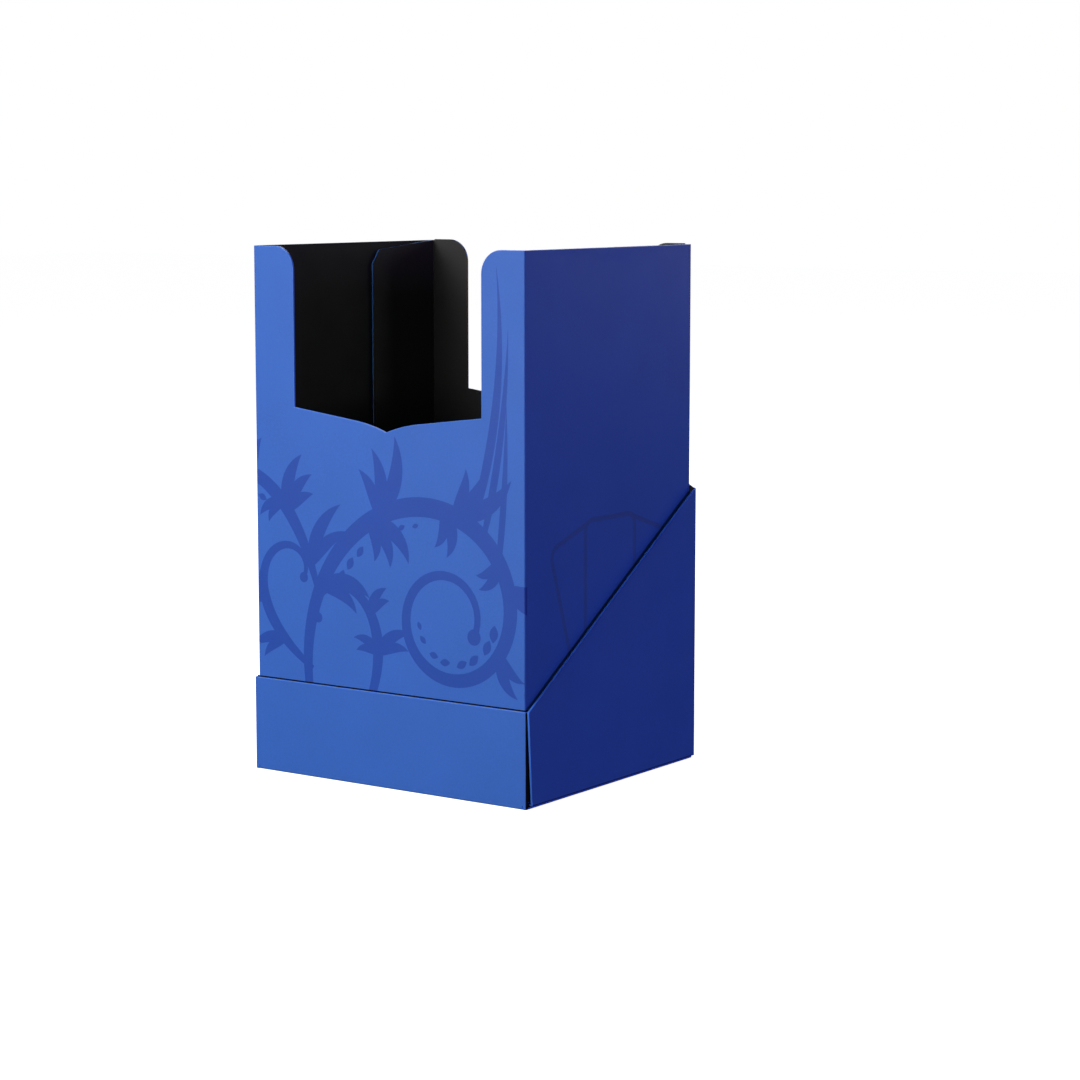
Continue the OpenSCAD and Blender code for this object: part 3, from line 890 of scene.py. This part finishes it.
# A darker copy of the lining's black, for the front, sides and outer floor: painted shade on the inner
# walls.
SHADED_BLACK = linear(34, 34, 36)
# Black of the lining's cut edges, and also the painted shade in the lid's slot and foot lines.
EDGE_AND_SHADE_BLACK = linear(18, 18, 20)
TAPE_AMBER = linear(206, 196, 160)

blue_sheet = plastic("blue_sheet", BLUE, 0.42, 0.22 * MM, 0.015 * MM, specular=0.38)
blue_edge_and_highlight = plastic("blue_cut_edge_with_highlight", EDGE_BLUE_AND_HIGHLIGHT, 0.35, 0.12 * MM, 0.01 * MM, specular=0.38)
highlight_painted_edge = plastic("cut_edge_painted_highlight", PAINTED_HIGHLIGHT_BLUE, 0.35, 0.12 * MM, 0.01 * MM, specular=0.38)
blue_print = plastic("blue_print", PRINT_BLUE, 0.38, 0.3 * MM, 0.008 * MM, specular=0.38)
faint_print = plastic("faint_print", FAINT_BLUE, 0.38, 0.3 * MM, 0.008 * MM, specular=0.38)
black_film = plastic("black_lining", BLACK, 0.5, 0.18 * MM, 0.01 * MM, specular=0.2)
shaded_wrap_film = plastic("black_wrap_lining_shaded", SHADED_BLACK, 0.5, 0.18 * MM, 0.01 * MM, specular=0.15)
film_edge = plastic("black_lining_edge", EDGE_AND_SHADE_BLACK, 0.6, 0.12 * MM, 0.005 * MM, specular=0.08)
# Painted shade: a black laid on the lid's glue flap and on strips of its creases, where they lie in shade.
painted_shade_dark = plastic("painted_shade_black_material", EDGE_AND_SHADE_BLACK, 0.6, 0.18 * MM, 0.01 * MM, specular=0.08)
tape_clear = plastic("adhesive_tape", TAPE_AMBER, 0.55, 0.5 * MM, 0.02 * MM)

# ---- The object -------------------------------------------------------------------------------

body_front = wall(
    -1, HALF_D, HALF_W, BODY_Z, crease_low=DUST_Z + FOLD_R, crease_top=SIDE_TOP, top=SIDE_TOP,
    window=True, bow=BOW,
)
body_back = wall(
    1, HALF_D, FLAP_FACE, INNER_Z, crease_low=body_flap_low.z, crease_top=SIDE_TOP, top=BACK_TOP,
    window=True, bow=BOW,
)
body_outer_floor = floor_leaf(
    BODY_Z, rectangle(outer_floor_low.x, outer_floor_high.x, outer_floor_low.y, outer_floor_high.y),
    seams_y=(outer_floor_low.y,),
)
body_inner_floor = floor_leaf(
    INNER_Z, rectangle(inner_floor_low.x, inner_floor_high.x, inner_floor_low.y, inner_floor_high.y),
    seams_y=(inner_floor_high.y,),
)
lid_base = floor_leaf(
    0, rectangle(-LID_HALF_W, LID_HALF_W, -LID_FOLD_Y, LID_HALF_D), seams_y=(-LID_FOLD_Y,)
)


def shell(leaf, inks=()):
    """The shell's slab of a leaf."""
    return sheet_geometry(leaf, 0, SHEET, EDGE_ROUND, 0, inks)


def film(leaf):
    """The lining's slab of a leaf, whose near face lies on the shell."""
    return sheet_geometry(leaf, SHEET, PLY, 0, FILM_ROUND, near_mark=1)


def add_shell(name, leaf, body, inks=(), ink_materials=()):
    """The piece for one panel, flap or floor of the shell."""
    materials = [blue_sheet, blue_edge_and_highlight, *ink_materials]
    sheet_piece(name, [shell(leaf, inks)], materials, body)


def add_film(name, leaves, body, material=black_film):
    """The piece for the lining of several leaves that are cut from one blank."""
    sheet_piece(name, [film(leaf) for leaf in leaves], [material, film_edge], body)


wrap_leaves = [body_front, body_outer_floor]
back_leaves = [body_back, body_inner_floor]
# The lid's lining stands proud along the lid's top edges, as painted shade.
lid_leaves = [
    lid_base, lid_front_leaf(LINING_RISE), lid_back_leaf(), lid_flap(LINING_RISE), rear_dust_flap(),
]
add_shell("body_front_panel", body_front, "box", [front_print()], [blue_print])
add_shell("body_back_panel", body_back, "box")
add_shell("body_outer_floor", body_outer_floor, "box")
add_shell("body_inner_floor", body_inner_floor, "box")
add_shell("lid_base_panel", lid_base, "lid")
# The front panel's crease in the seam carries painted shade.
add_shell("lid_front_panel", lid_front_leaf(), "lid", [lid_seam_shade_paint()], [painted_shade_dark])
add_shell("lid_back_panel", lid_back_leaf(), "lid")
add_shell("lid_rear_dust_flap", rear_dust_flap(), "lid")
# The glue flap's outer face is painted shade, dark where it shows in the slot beside the right panel.
sheet_piece("lid_glue_flap", [shell(lid_flap())], [painted_shade_dark, blue_edge_and_highlight], "lid")
for side, hand in ((1, "right"), (-1, "left")):
    panel = body_side(side)
    flap = body_flap(side)
    dust = dust_flap(f"body_{hand}_dust_flap", side, HALF_W)
    wrap_leaves += [panel, dust]
    back_leaves.append(flap)
    add_shell(f"body_{hand}_panel", panel, "box", *side_emblem())
    # The glue flaps' cut edges get the painted highlight.
    sheet_piece(f"body_{hand}_glue_flap", [shell(flap)], [blue_sheet, highlight_painted_edge], "box")
    add_shell(f"body_{hand}_dust_flap", dust, "box")
    lid_dust = dust_flap(f"lid_{hand}_dust_flap", side, LID_RIGHT_W if side > 0 else LID_HALF_W)
    lid_leaves += [lid_side(side, SIDE_LIFT), lid_dust]
    # The foot creases of the lid's side panels carry painted shade.
    add_shell(f"lid_{hand}_panel", lid_side(side), "lid", [lid_foot_shade_paint()], [painted_shade_dark])
    add_shell(f"lid_{hand}_dust_flap", lid_dust, "lid")
# The wrap lining gets the darker black, as painted shade.
add_film("body_wrap_lining", wrap_leaves, "box", shaded_wrap_film)
add_film("body_back_lining", back_leaves, "box")
add_film("lid_lining", lid_leaves, "lid")

# The tapes keep the CAD's shape and only get a material.
for name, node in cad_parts.items():
    if name.endswith(("_tape", "_tapes")):
        node.data.materials.clear()
        node.data.materials.append(tape_clear)

# ---- Floor, light and camera ------------------------------------------------------------------

OBJECT_MIDDLE = Vector((0, 0, 57 * MM))

FLOOR_HALF = 3.0
FLOOR_DROP = 0.05 * MM               # keeps the floor clear of the underside
FLOOR_SHADE = 0.9
FLOOR_ROUGH = 0.9
FLOOR_GLOW = 0.97                    # bright enough to look white
FILL = 0.025                         # brightness of the surroundings, where they light the object

CAMERA_AZIMUTH = 34.99               # degrees, to the right of the front
CAMERA_ELEVATION = 7.46              # degrees
CAMERA_DISTANCE = 617.3 * MM
CAMERA_RIGHT = 14.39 * MM            # how far the camera stands beside and above the line to the
CAMERA_UP = -6.68 * MM               # object's middle, without turning
CAMERA_LENS = 92.98
CAMERA_SENSOR = 36


def direction(azimuth, elevation):
    """The direction from the object to a place, with angles in degrees."""
    around, up = math.radians(azimuth), math.radians(elevation)
    return Vector((math.sin(around) * math.cos(up), -math.cos(around) * math.cos(up), math.sin(up)))


def facing(away):
    """The rotation of a lamp or camera that looks back along a direction."""
    return away.to_track_quat("Z", "Y").to_euler()


def white_floor():
    """A glowing floor that the object stands on. It neither lights it nor is mirrored in it."""
    corners = rectangle(-FLOOR_HALF, FLOOR_HALF, -FLOOR_HALF, FLOOR_HALF)
    mesh = bpy.data.meshes.new("floor")
    mesh.from_pydata([(x, y, -FLOOR_DROP) for x, y in corners], [], [(0, 1, 2, 3)])
    material = bpy.data.materials.new("floor")
    material.use_nodes = True
    shader = material.node_tree.nodes["Principled BSDF"]
    shader.inputs["Base Color"].default_value = (FLOOR_SHADE, FLOOR_SHADE, FLOOR_SHADE, 1)
    shader.inputs["Roughness"].default_value = FLOOR_ROUGH
    shader.inputs["Emission Color"].default_value = (1, 1, 1, 1)
    shader.inputs["Emission Strength"].default_value = FLOOR_GLOW
    mesh.materials.append(material)
    floor = bpy.data.objects.new("floor", mesh)
    floor.visible_diffuse = False
    floor.visible_glossy = False
    bpy.context.scene.collection.objects.link(floor)


def softbox(name, azimuth, elevation, distance, size, power, colour=(1, 1, 1)):
    """A square area light that looks at the object's middle. Angles are in degrees."""
    light = bpy.data.lights.new(name, "AREA")
    light.size = size
    light.energy = power
    light.color = colour
    lamp = bpy.data.objects.new(name, light)
    away = direction(azimuth, elevation)
    lamp.location = OBJECT_MIDDLE + away * distance
    lamp.rotation_euler = facing(away)
    bpy.context.scene.collection.objects.link(lamp)


def white_surroundings():
    """Surroundings that the camera sees as white, and that light the object only faintly."""
    world = bpy.data.worlds.new("studio")
    world.use_nodes = True
    tree = world.node_tree
    faint = tree.nodes["Background"]
    faint.inputs["Color"].default_value = (FILL, FILL, FILL, 1)
    seen = tree.nodes.new("ShaderNodeBackground")
    seen.inputs["Color"].default_value = (1, 1, 1, 1)
    choice = tree.nodes.new("ShaderNodeMixShader")
    path = tree.nodes.new("ShaderNodeLightPath")
    tree.links.new(path.outputs["Is Camera Ray"], choice.inputs["Fac"])
    tree.links.new(faint.outputs["Background"], choice.inputs[1])
    tree.links.new(seen.outputs["Background"], choice.inputs[2])
    tree.links.new(choice.outputs["Shader"], tree.nodes["World Output"].inputs["Surface"])
    bpy.context.scene.world = world


def photo_camera():
    """The camera, where the photograph was taken from."""
    data = bpy.data.cameras.new("camera")
    data.sensor_width = CAMERA_SENSOR
    data.lens = CAMERA_LENS
    camera = bpy.data.objects.new("camera", data)
    away = direction(CAMERA_AZIMUTH, CAMERA_ELEVATION)
    right = direction(CAMERA_AZIMUTH + 90, 0)
    above = away.cross(right)
    camera.location = OBJECT_MIDDLE + away * CAMERA_DISTANCE + right * CAMERA_RIGHT + above * CAMERA_UP
    camera.rotation_euler = facing(away)
    bpy.context.scene.collection.objects.link(camera)
    bpy.context.scene.camera = camera


white_floor()
softbox("key", -32, 38, 0.55, 0.30, 2.1)
softbox("front", -25, 5, 1.2, 0.6, 3.2, (1, 0.94, 1))
softbox("through", 8, 4, 1.2, 0.5, 3.9)
softbox("side", 82, 2, 1.0, 0.4, 3.4, (0.565, 0.36, 1))
softbox("sheen", 163, 14, 0.7, 0.3, 0.48)
softbox("back", 205, 35, 0.9, 0.5, 1.9)
white_surroundings()
bpy.context.scene.view_settings.view_transform = "Standard"
photo_camera()
